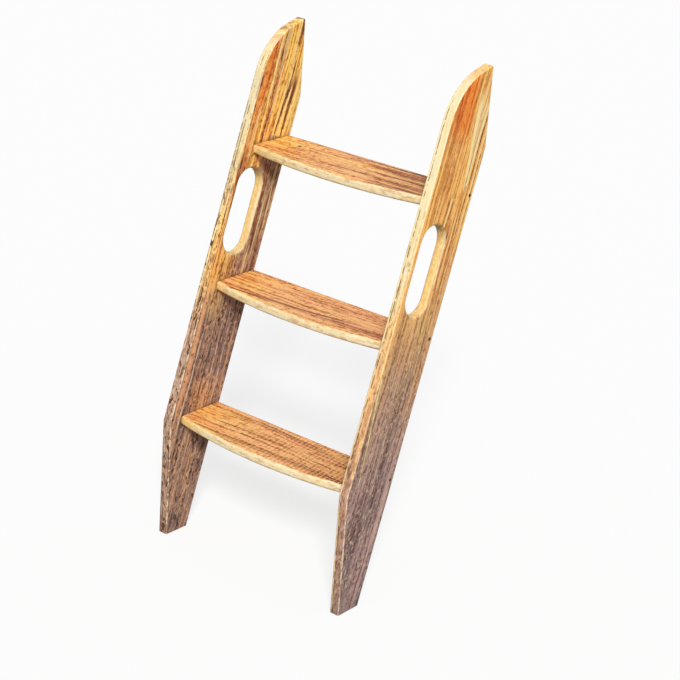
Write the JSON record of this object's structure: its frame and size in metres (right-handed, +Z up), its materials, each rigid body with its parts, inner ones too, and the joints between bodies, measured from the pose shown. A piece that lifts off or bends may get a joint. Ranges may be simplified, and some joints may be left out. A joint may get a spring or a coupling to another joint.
{
  "type": "leaning wooden ladder",
  "caption": "Rigid wooden ladder that leans on a wall: plank stiles with hand slots, rounded crowns, level feet and bowed treads housed, screwed and plugged in the stiles.",
  "frame": {"origin": "on the floor, at the middle of the ladder's footprint", "axes": "+Z up; +Y towards the wall that the ladder leans on; +X to the right for someone who faces the ladder to climb it"},
  "size_m": [0.446, 0.3198, 0.959],
  "materials": {
    "stile_wood": "oiled hardwood, strong grain along the plank, pale sapwood streaks",
    "tread_wood": "oiled hardwood, grain along the tread, pale nose",
    "plug_wood": "dark hardwood end grain, sanded flush",
    "screw_steel": "plain, hidden under the plugs"
  },
  "bodies": {
    "root": {"stile_left": "stile_wood", "stile_right": "stile_wood", "tread_bottom": "tread_wood", "tread_middle": "tread_wood", "tread_top": "tread_wood", "screw_left_bottom_front": "screw_steel", "screw_left_bottom_back": "screw_steel", "screw_left_middle_front": "screw_steel", "screw_left_middle_back": "screw_steel", "screw_left_top_front": "screw_steel", "screw_left_top_back": "screw_steel", "screw_right_bottom_front": "screw_steel", "screw_right_bottom_back": "screw_steel", "screw_right_middle_front": "screw_steel", "screw_right_middle_back": "screw_steel", "screw_right_top_front": "screw_steel", "screw_right_top_back": "screw_steel", "plug_left_bottom_front": "plug_wood", "plug_left_bottom_back": "plug_wood", "plug_left_middle_front": "plug_wood", "plug_left_middle_back": "plug_wood", "plug_left_top_front": "plug_wood", "plug_left_top_back": "plug_wood", "plug_right_bottom_front": "plug_wood", "plug_right_bottom_back": "plug_wood", "plug_right_middle_front": "plug_wood", "plug_right_middle_back": "plug_wood", "plug_right_top_front": "plug_wood", "plug_right_top_back": "plug_wood"}
  },
  "joints": []
}
